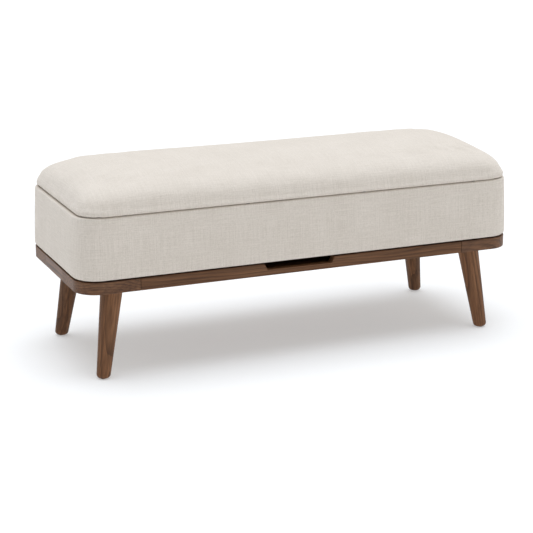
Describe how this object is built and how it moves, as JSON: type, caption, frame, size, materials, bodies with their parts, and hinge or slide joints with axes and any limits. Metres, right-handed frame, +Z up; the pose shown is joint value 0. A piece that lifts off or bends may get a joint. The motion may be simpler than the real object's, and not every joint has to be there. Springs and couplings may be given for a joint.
{
  "type": "storage ottoman",
  "caption": "Long upholstered storage bench with a domed lid hinged at the rear, on a walnut frame with splayed tapered legs and a slim pull-out tray under the box.",
  "frame": {"origin": "on the floor, under the middle of the frame", "axes": "+X along the length, to the right seen from the front; -Y towards the front; +Z up"},
  "size_m": [1.208, 0.472, 0.502],
  "materials": {
    "walnut": "satin",
    "plywood": "matte",
    "beech": "satin",
    "linen_fabric": "matte",
    "foam": "matte",
    "lining_fabric": "matte",
    "zinc_steel": "satin",
    "brass": "satin",
    "nylon": "matte",
    "rubber": "matte",
    "spacer_black": "matte"
  },
  "bodies": {
    "base": {"case_bottom": "plywood", "case_corner_formers": "plywood", "case_cover": "linen_fabric", "case_end_panel_left": "plywood", "case_end_panel_right": "plywood", "case_front_panel": "plywood", "case_lining": "lining_fabric", "case_padding_corners": "foam", "case_padding_front": "foam", "case_padding_left": "foam", "case_padding_rear": "foam", "case_padding_right": "foam", "case_rear_panel": "plywood", "case_screws": "zinc_steel", "case_spacer": "spacer_black", "corner_block_front_left": "walnut", "corner_block_front_right": "walnut", "corner_block_rear_left": "walnut", "corner_block_rear_right": "walnut", "end_rail_left": "walnut", "end_rail_right": "walnut", "foot_glides": "nylon", "frame_dowels": "beech", "hanger_bolts": "zinc_steel", "hinge_case_leaves": "zinc_steel", "hinge_case_screws": "zinc_steel", "hinge_pins": "zinc_steel", "leg_front_left": "walnut", "leg_front_right": "walnut", "leg_rear_left": "walnut", "leg_rear_right": "walnut", "rear_rail": "walnut", "runner_rail_left": "beech", "runner_rail_right": "beech", "runner_strip_left": "beech", "runner_strip_right": "beech", "threaded_inserts": "brass"},
    "lid": {"lid_board": "plywood", "lid_pad": "foam", "lid_cover": "linen_fabric", "lid_dust_cover": "lining_fabric", "lid_bumpers": "rubber", "hinge_lid_leaves": "zinc_steel", "hinge_lid_screws": "zinc_steel"},
    "tray": {"tray_back": "walnut", "tray_bottom": "walnut", "tray_dowels": "beech", "tray_front": "walnut", "tray_screws": "zinc_steel", "tray_side_left": "walnut", "tray_side_right": "walnut"}
  },
  "joints": [
    {"name": "lid_hinge", "type": "hinge", "parent": "base", "child": "lid", "pos_m": [0, 0.236, 0.417], "axis": [-1, 0, 0], "range_deg": [0, 95]},
    {"name": "tray_slide", "type": "slide", "parent": "base", "child": "tray", "axis": [0, -1, 0], "range_m": [0, 0.3]}
  ]
}
